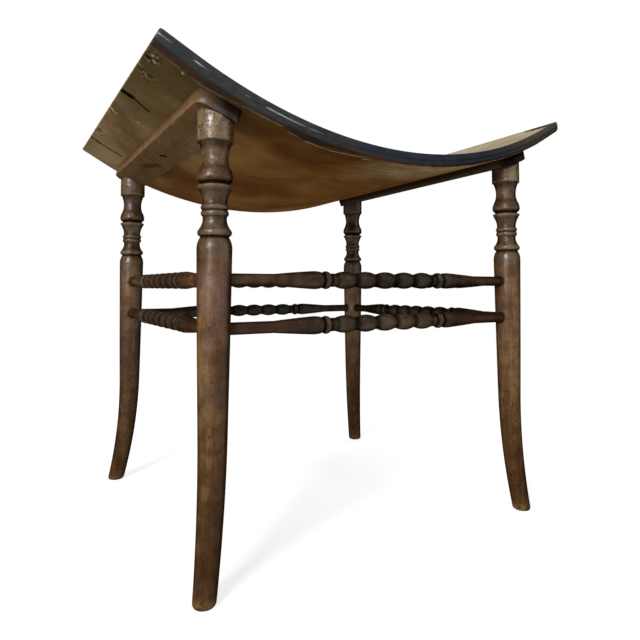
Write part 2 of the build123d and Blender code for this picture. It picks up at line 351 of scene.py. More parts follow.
@dataclass(frozen=True)
class StainedWood:
    """Turned or planed wood under old stain, with dirt and painted shade in its hollows, wear and painted
    highlights on its edges.
    """

    tones: Tones
    grime_and_shade: Tone
    grain: Axis = Axis.Z
    rough: Pair = (0.24, 0.42)
    shine: float = 0.14
    spots: float = 0.55
    # depth and foot are painted light and shade: depth makes the piece a lit or shaded copy of the wood,
    # foot darkens it towards the floor
    depth: float = 1.0
    foot: float = 1.0
    tint: Tone = (0.85, 0.8, 1.0, 1.0)
    smoke: Tone = (0.62, 0.72, 0.95, 1.0)
    stain: Tone = (0.66, 0.65, 0.8, 1.0)
    smoked: float = 0.0
    # pale: faded wood on the drum, and the colour of the painted highlight below it
    pale: Tone = tone(142, 121, 90)
    faded: float = 0.0
    # The share of the painted highlight in pale patches below the drum
    cove_highlight: float = 0.0
    bare_from: Pair = (-2.0, -1.5)
    # A painted purple-grey sheen on the upper shaft: its share and tone
    painted_sheen_share: float = 0.0
    painted_sheen: Tone = tone(112, 84, 82)
    warm: Tone = (1.6, 1.14, 0.9, 1.0)
    dulled: float = 0.85
    relief: float = 0.55
    notches: tuple = ()
    streak_stretch: float = 0.07
    patch_stretch: float = 0.3
    streaks: Mottle = Mottle(150.0, 6.0, 0.62, bend=0.5)
    fine: Mottle = Mottle(900.0, 3.0, 0.6)
    patches: Mottle = Mottle(26.0, 5.0, 0.62)
    blots: Mottle = Mottle(90.0, 4.0, 0.6)
    weights: tuple[float, ...] = (0.27, 0.1, 0.41, 0.27)
    contrast: Pair = (0.38, 0.71)
    pits: Mottle = Mottle(480.0, 4.0, 0.66, 0.58, 0.68)
    pit_share: float = 0.7
    specks: Mottle = Mottle(210.0, 4.0, 0.72, 0.57, 0.68)
    dense: Mottle = Mottle(260.0, 6.0, 0.78, 0.5, 0.6)
    worn: Mottle = Mottle(110.0, 6.0, 0.74, 0.43, 0.6)
    least_worn: float = 0.2
    # Pale patches of the painted highlight below the drum
    highlight_patches: Mottle = Mottle(110.0, 6.0, 0.74, 0.4, 0.56)
    chips: Mottle = Mottle(150.0, 3.0, 0.65, 0.34, 0.56)
    # Patches of the painted sheen
    painted_sheen_patches: Mottle = Mottle(60.0, 4.0, 0.6, 0.4, 0.6)
    sheen: Mottle = Mottle(90.0, 5.0, 0.65, 0.35, 0.68)
    wax: Mottle = Mottle(70.0, 4.0, 0.65, 0.36, 0.62)
    wax_range: Pair = (0.5, 1.3)
    drum_foot: Pair = (0.3555, 0.3562)
    bulb_foot: Pair = (0.318, 0.324)
    bulb_specks: Pair = (0.0, 0.6)
    # Heights over which the painted shade at the foot gives way to the piece's painted light level
    shaded: Pair = (0.02, 0.26)
    waxed: Pair = (0.04, 0.32)
    waxed_share: Pair = (0.2, 1.15)
    hollow_share: float = 0.94
    wear_share: float = 0.85
    relief_weights: tuple[float, ...] = (0.3, 0.25, 0.9, -0.5)
    relief_depth: float = 0.0005

    def drawn_out(self, share: float) -> list[float]:
        """The scale that draws a noise out along the grain."""
        return [share if axis is self.grain else 1.0 for axis in Axis]

    def material(self, name: str) -> bpy.types.Material:
        """Builds the finish: streaks along the grain, patches, spots, dirt with painted shade, wear with
        painted highlights, a painted sheen, painted light and shade, and relief.

        Args:
            name: The material's name.

        Returns:
            The material.
        """
        graph = MaterialGraph(name)
        along = graph.stretch(self.drawn_out(self.streak_stretch))
        broad = graph.stretch(self.drawn_out(self.patch_stretch))
        streaks = graph.noise(along, self.streaks)
        fine = graph.noise(along, self.fine)
        patches = graph.noise(broad, self.patches)
        blots = graph.noise(graph.place, self.blots)
        pits = graph.noise(graph.place, self.pits)
        value = weighed((streaks, fine, patches, blots), self.weights).fit(*self.contrast)
        drum = graph.zone(Axis.Z, *self.drum_foot)
        worn = graph.mottled(broad, self.worn, (self.least_worn * self.faded, self.faded))
        worn = worn * graph.painted("across").fit(*self.bare_from)
        waist = graph.band(LegBand.WAIST)
        # Painted highlight: pale patches on the waist below the drum
        highlight_patches = graph.mottled(broad, self.highlight_patches, (0.0, self.cove_highlight))
        speck = graph.mottled(graph.place, self.specks)
        speck = speck | pits.fit(self.pits.low, self.pits.high) * self.pit_share
        upper = graph.zone(Axis.Z, *self.bulb_foot, self.bulb_specks)
        speck = speck | (drum | upper) * graph.mottled(graph.place, self.dense)
        hollow = graph.painted("hollow")
        wear = (graph.painted("wear") * graph.mottled(graph.place, self.chips)).held()
        # Painted sheen: a purple-grey reflection laid into the colour of the upper shaft
        painted_sheen = graph.mottled(broad, self.painted_sheen_patches, (0.0, self.painted_sheen_share))
        marks = [(graph.stroke(*line) * share, self.grime_and_shade) for *line, share in self.notches]
        colour = graph.layers(
            graph.ramp(value, self.tones),
            (
                (drum * worn, self.pale),
                (waist * highlight_patches, self.pale),
                (speck * self.spots, self.grime_and_shade),
                # Dirt in hollows, with painted shadow bands on the legs and painted shade at the battens'
                # ends
                (hollow * self.hollow_share, self.grime_and_shade),
                (wear * self.wear_share, self.tones[2]),
                *marks,
                (graph.band(LegBand.PAINTED_SHEEN) * painted_sheen, self.painted_sheen),
            ),
        )
        stained = (graph.band(LegBand.BULB) * (self.smoked - waist * self.cove_highlight)).held()
        colour = graph.layers(
            colour,
            (
                # Painted light and shade: the piece's light level, darker towards the floor
                (1.0, graph.zone(Axis.Z, *self.shaded, (self.foot * self.depth, self.depth))),
                (graph.painted("plain"), self.warm),
                (graph.band(LegBand.NECK) * self.smoked, self.smoke),
                (stained, self.stain),
            ),
            "MULTIPLY",
        )
        graph.set("Base Color", colour)
        graph.set("Specular Tint", self.tint)
        graph.set("Roughness", graph.mottled(along, self.sheen, self.rough))
        clean = 1.0 - hollow * self.dulled
        waxed = graph.mottled(graph.place, self.wax, self.wax_range)
        waxed = waxed * graph.zone(Axis.Z, *self.waxed, self.waxed_share)
        graph.gloss(clean * waxed * self.shine)
        relief = weighed((streaks, fine, pits, speck), self.relief_weights)
        graph.bump(relief, self.relief_depth, self.relief)
        return graph.material


@dataclass(frozen=True)
class Figure:
    """The figure of a board's face: its tones, the scale of its patches and the shares of each noise."""

    tones: Tones
    patches: float
    weights: Triple
    contrast: Pair = (0.36, 0.74)

    def colour(self, graph: MaterialGraph, streaks: Field, fine: Field) -> Field:
        """The face's colour: streaks, fine grain and patches by their weights, on three tones.

        Args:
            graph: The material's graph.
            streaks, fine: Noise along the grain.

        Returns:
            The colour.
        """
        patches = graph.noise(graph.place, Mottle(self.patches, detail=5.0, rough=0.6, bend=0.4))
        value = weighed((streaks, fine, patches), self.weights)
        return graph.ramp(value.fit(*self.contrast), self.tones)


@dataclass(frozen=True)
class SeatFinish:
    """The board: pale worn top, stained underside, blue-black painted edges with worn arrises."""

    top: Figure = Figure(tones((136, 125, 100), (162, 150, 126), (182, 171, 148)), 14.0, (0.42, 0.16, 0.5))
    under: Figure = Figure(tones((108, 69, 34), (135, 92, 47), (156, 116, 66)), 11.0, (0.14, 0.08, 0.85))
    olive: Figure = Figure(tones((99, 84, 50), (136, 110, 78), (158, 137, 100)), 11.0, (0.14, 0.08, 0.85))
    # A painted pool of light on the underside, near the front on the right
    lit_patch: Figure = Figure(tones((132, 108, 70), (166, 140, 98), (190, 168, 128)), 40.0, (0.4, 0.12, 0.55))
    shade: Tone = (0.58, 0.56, 0.5, 1.0)
    paint: Tone = tone(28, 35, 44)
    rust: Tone = tone(80, 72, 62)
    charcoal: Tone = tone(50, 52, 48)
    grey: Tone = tone(72, 71, 64)
    brown: Tone = tone(64, 44, 30)
    bare: Tone = tone(168, 170, 166)
    chip: Tone = tone(150, 140, 118)
    crack: Tone = tone(16, 10, 5)
    dot: Tone = tone(190, 165, 125)
    shine: float = 0.12
    least_shine: float = 0.35
    rough: Pair = (0.42, 0.66)
    grain_stretch: Triple = (0.06, 1.0, 0.5)
    paint_stretch: Triple = (0.35, 1.0, 1.0)
    mottle_stretch: Triple = (0.4, 1.0, 1.0)
    wear_stretch: Triple = (0.14, 1.0, 1.0)
    streaks: Mottle = Mottle(130.0, 6.0, 0.62, bend=0.6)
    fine: Mottle = Mottle(800.0, 3.0, 0.6)
    ragged: Mottle = Mottle(230.0, 5.0, 0.72)
    paint_edge: Mottle = Mottle(260.0, 4.0, 0.7)
    mottle: Mottle = Mottle(210.0, 6.0, 0.74, 0.4, 0.68)
    rubs: Mottle = Mottle(75.0, 4.0, 0.7, 0.46, 0.62)
    flakes: Mottle = Mottle(330.0, 4.0, 0.7, 0.5, 0.66)
    sheen: Mottle = Mottle(50.0, 4.0, 0.6, 0.3, 0.7)
    olive_from: Pair = (-0.1, -0.2)
    right_from: Pair = (-0.05, 0.03)
    shade_from: Pair = (-0.09, -0.176)
    lit_patch_from: Pair = (-0.085, -0.165)
    rust_from: Pair = (0.1, 0.2)
    charcoal_from: Pair = (-0.04, -0.16)
    mottle_from: tuple[Pair, Pair] = ((0.0, -0.16), (0.12, 0.2))
    mottle_share: Pair = (0.25, 0.9)
    rust_share: Pair = (0.0, 0.7)
    charcoal_share: Pair = (0.0, 0.6)
    flake_share: Pair = (0.0, 0.8)
    torn_dark: Pair = (0.49, 0.41)
    torn_pale: Pair = (0.53, 0.6)
    line_share: float = 0.9
    wear_share: float = 0.8
    paint_shake: float = 1.1
    paint_full: Pair = (0.12, 0.42)
    paint_thin: Pair = (0.8, 0.5)
    relief_weights: Triple = (0.4, 0.3, -2.0)
    relief_depth: float = 0.0005
    relief: float = 0.5
    cracks: tuple = (
        ((-0.2275, -0.0623), (-0.2153, -0.0626), 0.0062),
        ((-0.2153, -0.0626), (-0.1988, -0.0578), 0.0023),
        ((-0.2260, 0.1130), (-0.2140, 0.1160), 0.0030),
        ((-0.2140, 0.1160), (-0.1890, 0.1130), 0.0024),
    )
    torn: tuple = (
        ((-0.2186, -0.1480), (-0.2180, -0.1580), 0.0075),
        ((-0.2270, -0.1234), (-0.2259, -0.1334), 0.0065),
        ((-0.2136, -0.1183), (-0.2173, -0.1200), 0.0085),
        ((-0.2199, 0.0871), (-0.2200, 0.0731), 0.0060),
        ((-0.2275, -0.0500), (-0.2265, -0.0440), 0.0050),
    )
    dots: tuple = (
        ((-0.1984, -0.1630), (-0.1980, -0.1628), 0.0015),
        ((-0.1989, -0.0172), (-0.1985, -0.0170), 0.0016),
        ((-0.1880, 0.1125), (-0.1876, 0.1126), 0.0014),
        ((-0.2194, 0.0849), (-0.2188, 0.0850), 0.0015),
        ((-0.2275, -0.0110), (-0.2171, -0.0026), 0.0016),
        ((-0.2265, 0.0020), (-0.2215, 0.0060), 0.0010),
        ((-0.0360, -0.1700), (-0.0300, -0.1705), 0.0010),
    )

    def material(self, name: str) -> bpy.types.Material:
        """Builds the finish from the zones that the mesh carries and from marks placed in X and Y.

        Args:
            name: The material's name.

        Returns:
            The material.
        """
        graph = MaterialGraph(name)
        along = graph.stretch(self.grain_stretch)
        streaks = graph.noise(along, self.streaks)
        fine = graph.noise(along, self.fine)
        upper = graph.painted("upper")
        faces = (self.top, self.under, self.olive, self.lit_patch)
        above, below, aged, lit = (face.colour(graph, streaks, fine) for face in faces)
        below = graph.blend(graph.zone(Axis.X, *self.olive_from), below, aged)
        right = graph.zone(Axis.X, *self.right_from)
        shaded = graph.zone(Axis.Y, *self.shade_from) * (1.0 - right)
        below = graph.blend(shaded, below, self.shade, "MULTIPLY")
        # Painted light: a brighter golden pool near the front of the underside, on the right
        below = graph.blend(graph.zone(Axis.Y, *self.lit_patch_from) * right, below, lit)
        torn = self.strokes(graph, self.torn)
        ragged = graph.noise(graph.place, self.ragged)
        marks = self.strokes(graph, self.cracks) | graph.painted("line") * self.line_share
        marks = marks | torn * ragged.fit(*self.torn_dark)
        edge = graph.noise(graph.stretch(self.paint_stretch), self.paint_edge)
        laid = graph.painted("paint") + (edge - 0.5) * self.paint_shake
        band = laid.fit(*self.paint_full)
        wear = graph.mottled(graph.stretch(self.wear_stretch), self.rubs)
        wear = (graph.painted("wear") * wear).held()
        flake = graph.mottled(graph.place, self.flakes, self.flake_share)
        flake = (graph.painted("chipped") * flake).held()
        colour = graph.layers(
            below,
            (
                (upper, above),
                (torn * ragged.fit(*self.torn_pale), self.chip),
                (marks, self.crack),
                (self.strokes(graph, self.dots), self.dot),
                (band, self.cover(graph, laid)),
                (wear * self.wear_share, self.bare),
                (flake, self.chip),
            ),
        )
        graph.set("Base Color", colour)
        graph.set("Roughness", graph.mottled(graph.place, self.sheen, self.rough))
        graph.gloss((band | upper | self.least_shine) * self.shine)
        relief = weighed((streaks, fine, marks), self.relief_weights)
        graph.bump(relief, self.relief_depth, self.relief)
        return graph.material

    def cover(self, graph: MaterialGraph, laid: Field) -> Field:
        """The paint's colour: blue-black, greyed, rusty and browned where it thins.

        Args:
            graph: The material's graph.
            laid: How thick the paint lies.

        Returns:
            The colour.
        """
        mottle = graph.mottled(graph.stretch(self.mottle_stretch), self.mottle)
        ends = reduce(or_, [graph.zone(Axis.X, *places) for places in self.mottle_from])
        return graph.layers(
            self.paint,
            (
                (mottle * ends.fit(0.0, 1.0, self.mottle_share), self.grey),
                (graph.zone(Axis.X, *self.rust_from, self.rust_share), self.rust),
                (graph.zone(Axis.X, *self.charcoal_from, self.charcoal_share), self.charcoal),
                (laid.fit(*self.paint_thin), self.brown),
            ),
        )

    def strokes(self, graph: MaterialGraph, lines: Sequence[tuple]) -> Field:
        """The mask of one kind of mark, each a start, end and width, kept to the underside."""
        mask = reduce(or_, [graph.stroke(*line) for line in lines])
        return (mask * (1.0 - graph.painted("upper"))).held()


@dataclass(frozen=True)
class DullSteel:
    """Dark old screw heads with brighter rubs."""

    tones: Tones = tones((30, 26, 22), (58, 50, 42), (104, 94, 82))
    places: Triple = (0.3, 0.55, 0.8)
    mottle: Mottle = Mottle(700.0, 4.0, 0.6, 0.3, 0.7)
    rough: Pair = (0.4, 0.7)
    metallic: float = 0.8
    relief_depth: float = 0.0002
    relief: float = 0.4

    def material(self, name: str) -> bpy.types.Material:
        """Builds the finish: dark metal, mottled, with a rough rubbed face.

        Args:
            name: The material's name.

        Returns:
            The material.
        """
        graph = MaterialGraph(name)
        mottle = graph.noise(graph.place, self.mottle)
        graph.set("Base Color", graph.ramp(mottle, self.tones, self.places))
        graph.set("Metallic", self.metallic)
        graph.set("Roughness", mottle.fit(self.mottle.low, self.mottle.high, self.rough))
        graph.bump(mottle, self.relief_depth, self.relief)
        return graph.material


def arc(start: Sequence[float], middle: Sequence[float], end: Sequence[float], count: int) -> Array:
    """Points on the circular arc through three points, without its first point.

    The centre is where the perpendicular bisectors of the two chords cross, and the points lie
    at even angles about it, from start over middle to end.

    Args:
        start, middle, end: The three points.
        count: How many points.

    Returns:
        An array of count points.
    """
    a, b, c = (np.array(point, float) for point in (start, middle, end))
    system = 2 * np.array([b - a, c - a])
    centre = np.linalg.solve(system, np.array([b @ b - a @ a, c @ c - a @ a]))
    angles = [np.arctan2(*(point - centre)[::-1]) for point in (a, b, c)]
    sweep = (angles[2] - angles[0]) % (2 * np.pi)
    if (angles[1] - angles[0]) % (2 * np.pi) > sweep:
        sweep -= 2 * np.pi
    turn = angles[0] + sweep * np.arange(1, count + 1) / count
    radius = np.linalg.norm(a - centre)
    return centre + radius * np.column_stack([np.cos(turn), np.sin(turn)])


def even(outline: Array, step: float) -> Array:
    """Resamples an outline at even steps along its length.

    Args:
        outline: The points.
        step: The distance between the new points, in metres.

    Returns:
        The new points.
    """
    length = np.concatenate([[0], np.cumsum(np.linalg.norm(np.diff(outline, axis=0), axis=1))])
    places = np.linspace(0, length[-1], max(2, int(round(length[-1] / step)) + 1))
    return np.column_stack([np.interp(places, length, outline[:, axis]) for axis in (0, 1)])


def relief_of(outline: Array, reach: float) -> tuple[Array, Array]:
    """How deep each point of a turned outline lies in a hollow, and how far it stands proud.

    The radius is compared with its mean over a window along the outline.

    Args:
        outline: Rows of place along the axis and radius, at even steps.
        reach: Half the window's width, in metres.

    Returns:
        Hollow and proud shares, each from 0 to 1.
    """
    deepest, proudest = 0.0010, 0.0008
    radius = outline[:, 1]
    step = np.linalg.norm(outline[1] - outline[0])
    half = max(1, int(reach / step))
    padded = np.pad(radius, half, mode="edge")
    mean = np.convolve(padded, np.ones(2 * half + 1) / (2 * half + 1), mode="valid")
    return np.clip((mean - radius) / deepest, 0, 1), np.clip((radius - mean) / proudest, 0, 1)


def fading(distance: Array, start: float, reach: float) -> Array:
    """A start less the distance as a share of a reach, held between 0 and 1."""
    return np.clip(start - distance / reach, 0, 1)


def surface(name: str, points: Array, values: dict[str, Array]) -> bpy.types.Object:
    """Puts rings of points into a mesh, the first and last ring closed by fans to their middles.

    Args:
        name: The piece's name in small letters, its words joined by low lines.
        points: An array of rings, places round them, and X, Y, Z.
        values: Named values at the points, most of them from 0 to 1.

    Returns:
        The object, smooth shaded.
    """
    rows, columns = points.shape[:2]
    index = np.arange(rows * columns).reshape(rows, columns)
    following = np.roll(index, -1, axis=1)
    quads = np.stack([index[:-1], following[:-1], following[1:], index[1:]], axis=-1)
    faces = quads.reshape(-1, 4).tolist()
    vertices = points.reshape(-1, 3)
    fields = {key: value.reshape(-1) for key, value in values.items()}
    for row, first, second in ((0, index[0], following[0]), (-1, following[-1], index[-1])):
        middle = np.full(columns, len(vertices))
        vertices = np.vstack([vertices, points[row].mean(axis=0)])
        fields = {key: np.append(value, value[index[row, 0]]) for key, value in fields.items()}
        faces += np.column_stack([second, first, middle]).tolist()
    title = name.title().replace("_", "")
    mesh = bpy.data.meshes.new(title)
    mesh.from_pydata(vertices.tolist(), [], faces)
    mesh.polygons.foreach_set("use_smooth", np.ones(len(mesh.polygons), bool))
    for key, value in fields.items():
        layer = mesh.attributes.new(key, "FLOAT", "POINT")
        layer.data.foreach_set("value", value.astype(np.float32))
    mesh.validate()
    mesh.update()
    piece = bpy.data.objects.new(title, mesh)
    bpy.context.scene.collection.objects.link(piece)
    return piece


def stand_in(piece: bpy.types.Object, node: str, material: bpy.types.Material) -> None:
    """Gives a piece its material, and puts it in the place of a CAD node.

    Args:
        piece: The piece.
        node: The CAD node that it stands for.
        material: Its material.
    """
    piece.data.materials.append(material)
    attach(piece, "root")
    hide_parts(node)
    LOG.info("%s stands for %s: %d faces", piece.name, node, len(piece.data.polygons))


@dataclass
class Dish:
    """The cylinder that the seat is bent to, about an axis along Y."""

    radius: float = 0.423
    lowest: float = 0.3635
    tilt: float = 0.0055
    board: float = 0.012
    bearer: float = 0.011
    width: float = 0.445
    flat: float = 0.030

    @property
    def bend(self) -> float:
        """Angle at which the bent part of the board ends: X there and the flat's run make half the width."""
        reach = np.hypot(self.radius, self.flat)
        return float(np.arcsin(self.width / 2 / reach) - np.arctan2(self.flat, self.radius))

    @property
    def height(self) -> float:
        """Height of the dish's axis above the floor."""
        return self.lowest + self.radius

    @property
    def under(self) -> float:
        """Radius of the seat's underside."""
        return self.radius + self.board

    @property
    def bearing(self) -> float:
        """Radius of the battens' undersides."""
        return self.under + self.bearer

    def at(self, angle: Array, radius: Array, y: Array) -> Array:
        """Points at an angle and distance about the axis, in which the dish dips slightly to the back.

        X is the distance by the angle's sine, and Z the axis less the distance by its cosine. Past
        the bend the board runs straight on, along its tangent.

        Args:
            angle: The angles, or past the bend the run along the tangent over the radius.
            radius: The distances from the axis.
            y: The places from front to back.

        Returns:
            X, Y and Z along the last axis.
        """
        angle, radius, y = np.broadcast_arrays(angle, radius, y)
        held = np.clip(angle, -self.bend, self.bend)
        run = (angle - held) * self.radius
        x = radius * np.sin(held) + run * np.cos(held)
        z = self.height - radius * np.cos(held) + run * np.sin(held)
        return np.stack([x, y, z - self.tilt * y], axis=-1)


@dataclass
class TurnedLeg:
    """A leg with its turning, tapered shaft and sabre foot, all one surface."""

    node: str
    x: float
    y: float
    reach: float
    dish: Dish
    drum: float = 0.0146
    turning: float = 0.0874
    shoulder: float = 0.2685
    shaft: float = 0.0141
    belly: float = 0.00036
    foot: float = 0.0091
    foot_round: float = 0.003
    bend: float = 0.125
    columns: int = 96
    arc_points: int = 16
    shaft_rows: int = 200
    quarter_points: int = 9
    sole_rows: int = 5
    sole_hole: float = 0.001
    step: float = 0.0004
    window: float = 0.0045
    rim: float = 0.965
    rim_rows: Pair = (1.0, 0.985)
    head_from: float = 0.96
    head_rows: int = 20
    lip_wear: float = 0.4
    ring: float = 0.0052
    ring_fade: float = 0.0022
    lit_side: Pair = (0.86, -0.51)
    # Painted shadows under the drum, the bulb and the disc, laid into the hollow values
    shadow_bands: tuple = ((0.90, 1.07, 0.6, 0.06), (0.597, 0.660, 0.85, 0.012), (0.50, 0.575, 0.35, 0.03))
    # Painted highlights on the disc's lip and the bulb's lower edge, laid into the wear values
    highlight_bands: tuple = ((0.574, 0.598, 1.0, 0.006), (0.655, 0.675, 0.6, 0.006))
    arc_shares: tuple = (
        ((0.996, 0.985), (0.990, 0.900)),
        ((0.927, 0.776), (0.864, 0.719)),
        ((0.810, 0.740), (0.760, 0.822)),
        ((0.714, 0.942), (0.675, 0.993)),
        ((0.641, 0.955), (0.620, 0.835)),
        ((0.608, 0.795), (0.598, 0.845)),
        ((0.592, 0.950), (0.583, 0.985)),
        ((0.562, 0.905), (0.538, 0.835)),
        ((0.500, 0.740), (0.449, 0.682)),
        ((0.436, 0.681), (0.423, 0.682)),
        ((0.397, 0.770), (0.369, 0.678)),
        ((0.342, 0.764), (0.312, 0.662)),
        ((0.279, 0.660), (0.240, 0.709)),
        ((0.217, 0.774), (0.191, 0.877)),
        ((0.163, 0.942), (0.128, 0.765)),
        ((0.088, 0.888), (0.000, 0.966)),
    )

    def outline(self) -> Array:
        """Heights and radii from the drum's foot down to the floor.

        The turning is a row of arcs. The shaft's radius is a straight taper plus a parabola, and
        the sole's arris is a quarter circle.

        Returns:
            Rows of height and radius.
        """
        last = (self.turning, self.drum)
        rows = [np.array([last])]
        for shares in self.arc_shares:
            middle, end = ((rise * self.turning, share * self.drum) for rise, share in shares)
            rows.append(arc(last, middle, end, self.arc_points))
            last = end
        turned = even(np.vstack(rows) + (self.shoulder, 0), self.step)
        height = np.linspace(self.shoulder, self.foot_round, self.shaft_rows)[1:]
        shaft = np.column_stack([height, self.shaft_radius(height)])
        angle = np.linspace(0, np.pi / 2, self.quarter_points)[1:]
        rise = self.foot_round * (1 - np.sin(angle))
        sole = np.column_stack([rise, self.foot - self.foot_round * (1 - np.cos(angle))])
        inner = np.linspace(self.foot - self.foot_round, self.sole_hole, self.sole_rows)[1:]
        return np.vstack([turned, shaft, sole, np.column_stack([np.zeros(len(inner)), inner])])

    def shaft_radius(self, height: Array) -> Array:
        """Radius of the shaft at a height: a straight taper plus a shallow parabola."""
        rise = height / self.shoulder
        return self.foot + (self.shaft - self.foot) * rise + 4 * self.belly * rise * (1 - rise)

    def build(self) -> bpy.types.Object:
        """Turns the outline about the leg's centre line, and marks its hollows with painted shadow bands,
        its wear with painted highlight bands, and its lit side.

        Returns:
            The leg.
        """
        outline = self.outline()
        turn = np.linspace(0, 2 * np.pi, self.columns, endpoint=False)[None, :]
        head = self.head(turn)
        points = np.concatenate([head, self.body(outline, turn)], axis=0)
        hollow, proud = relief_of(outline, self.window)
        rise = (outline[:, 0] - self.shoulder) / self.turning
        hollow = self.banded(hollow, rise, self.shadow_bands)
        proud = self.banded(proud, rise, self.highlight_bands)
        clean = np.zeros(len(head))
        lip = np.append(clean[1:], self.lip_wear)
        dirt = np.concatenate([clean, hollow])[:, None] * np.ones_like(turn)
        wear = np.concatenate([lip, proud])[:, None] * np.ones_like(turn)
        across = (points[..., :2] - (self.x, self.y)) @ self.lit_side / self.drum
        values = {"hollow": np.maximum(dirt, self.socket_dirt(points)), "wear": wear, "across": across}
        return surface(self.node, points, values)

    def body(self, outline: Array, turn: Array) -> Array:
        """The rings below the drum, moved out along the centre line.

        The centre line is a parabola from the bend down. Each ring is drawn out along the way that
        the foot goes by the root of 1 + slope squared, so that the shaft keeps its thickness.

        Args:
            outline: Rows of height and radius.
            turn: The angles round a ring.

        Returns:
            X, Y and Z along the last axis.
        """
        height, radius = outline[:, :1], outline[:, 1:]
        drop = fading(height, 1, self.bend)
        way = np.array([self.x, self.y]) / np.hypot(self.x, self.y)
        tilt = 2 * self.reach * drop / self.bend
        lean = np.sqrt(1 + tilt**2)
        local = np.stack([radius * np.cos(turn), radius * np.sin(turn)], axis=-1)
        along = (local @ way)[..., None] * way
        local = local + along * (lean - 1)[..., None]
        centre = np.array([self.x, self.y]) + (self.reach * drop**2)[..., None] * way
        level = np.broadcast_to(height, local.shape[:2])[..., None]
        return np.concatenate([local + centre, level], axis=-1)

    def banded(self, values: Array, rise: Array, bands: tuple) -> Array:
        """Raises values to a share within bands of the turning.

        Args:
            values: The values along the outline.
            rise: The places along it, as shares of the turning's height.
            bands: Rows of lower end, upper end, share and fade.

        Returns:
            The raised values.
        """
        for low, high, share, fade in bands:
            inside = np.clip(np.minimum(rise - low, high - rise) / fade, 0, 1)
            values = np.maximum(values, share * inside)
        return values

    def head(self, turn: Array) -> Array:
        """The drum's side, from its cut top down to its foot: the top follows the batten.

        Args:
            turn: The angles round a ring.

        Returns:
            X, Y and Z along the last axis.
        """
        below = np.linspace(self.head_from, 0.0, self.head_rows + 1)[:-1]
        shares = np.append(self.rim_rows, below)[:, None]
        radius = np.append(self.rim, np.ones(len(shares) - 1))[:, None] * self.drum
        x = self.x + radius * np.cos(turn)
        y = self.y + radius * np.sin(turn)
        cut = self.dish.height - np.sqrt(self.dish.bearing**2 - x**2) - self.dish.tilt * y
        foot = self.shoulder + self.turning
        return np.stack([x, y, foot + (cut - foot) * shares], axis=-1)

    def socket_dirt(self, points: Array) -> Array:
        """Dark rings round the sockets: they fade with distance from the rails' axes.

        Args:
            points: The leg's points.

        Returns:
            The dirt at each point, from 0 to 1.
        """
        inside = np.sign([self.x, self.y])
        offset = points[..., :2] - (self.x, self.y)
        dirt = np.zeros(points.shape[:2])
        for height in RAIL_HEIGHTS.values():
            rise = points[..., 2] - height
            for axis in (0, 1):
                gap = np.hypot(offset[..., 1 - axis], rise)
                facing = offset[..., axis] * inside[axis] < 0
                ring = fading(gap - self.ring, 1, self.ring_fade) * facing
                dirt = np.maximum(dirt, ring)
        return dirt


@dataclass
class BobbinRail:
    """A stretcher turned with bobbins, a bead and a long swelling each way, and plain ends."""

    node: str
    place: Triple
    along_y: bool
    half_span: float
    end: float = 0.0051
    neck: float = 0.0060
    bobbin: float = 0.008
    bobbin_length: float = 0.0196
    pitch: float = 0.0228
    bobbins_each_side: int = 2
    bead: float = 0.008
    bead_length: float = 0.0066
    bead_gap: float = 0.0072
    groove: float = 0.0067
    groove_length: float = 0.0018
    swell: float = 0.008
    nose: float = 0.0078
    swell_length: float = 0.0382
    swell_belly: float = 0.00015
    dirt: float = 1.7
    plain_from: float = 0.085
    plain_fade: float = 0.03
    columns: int = 56
    step: float = 0.0007
    window: float = 0.0055

    def outline(self) -> Array:
        """Half the outline, from the middle to one end: arcs and lines.

        Returns:
            Rows of place along the axis and radius.
        """
        half = self.bobbin_length / 2
        rows = []
        for step in range(self.bobbins_each_side + 1):
            middle = step * self.pitch
            start = (middle - half, self.neck)
            rows.append(np.array([start]))
            rows.append(arc(start, (middle, self.bobbin), (middle + half, self.neck), 24))
        last = rows[-1][-1, 0]
        bead = last + self.bead_gap
        groove = bead + self.bead_length
        nose = groove + self.groove_length
        full = nose + self.nose
        plain = full + self.swell_length
        rows.append(np.array([(bead, self.neck)]))
        rows.append(arc((bead, self.neck), ((bead + groove) / 2, self.bead), (groove, self.groove), 14))
        rows.append(np.array([(nose, self.groove)]))
        swing = np.linspace(0, np.pi / 2, 9)[1:]
        rise = self.groove + (self.swell - self.groove) * np.sin(swing)
        rows.append(np.column_stack([full - self.nose * np.cos(swing), rise]))
        waist = (self.swell + self.end) / 2 + self.swell_belly
        rows.append(arc((full, self.swell), ((full + plain) / 2, waist), (plain, self.end), 24))
        rows.append(np.array([(self.half_span, self.end)]))
        outline = np.vstack(rows)
        return outline[outline[:, 0] >= 0]

    def build(self) -> bpy.types.Object:
        """Mirrors the half outline and turns it about the rail's axis.

        Returns:
            The rail.
        """
        half = even(self.outline(), self.step)
        outline = np.vstack([half[::-1] * (-1, 1), half[1:]])
        outline = outline[np.append(True, np.diff(outline[:, 0]) > 1e-9)]
        turn = np.linspace(0, 2 * np.pi, self.columns, endpoint=False)[None, :]
        u, radius = outline[:, :1], outline[:, 1:]
        first, second = radius * np.cos(turn), radius * np.sin(turn)
        length = np.broadcast_to(u, first.shape)
        parts = (-first, length, second) if self.along_y else (length, first, second)
        points = np.stack(parts, axis=-1) + np.array(self.place)
        hollow, proud = relief_of(outline, self.window)
        plain = np.clip((np.abs(outline[:, 0]) - self.plain_from) / self.plain_fade, 0, 1)
        values = {"hollow": np.clip(self.dirt * hollow, 0, 1), "wear": proud, "plain": plain}
        round_it = {key: value[:, None] * np.ones_like(turn) for key, value in values.items()}
        return surface(self.node, points, round_it)


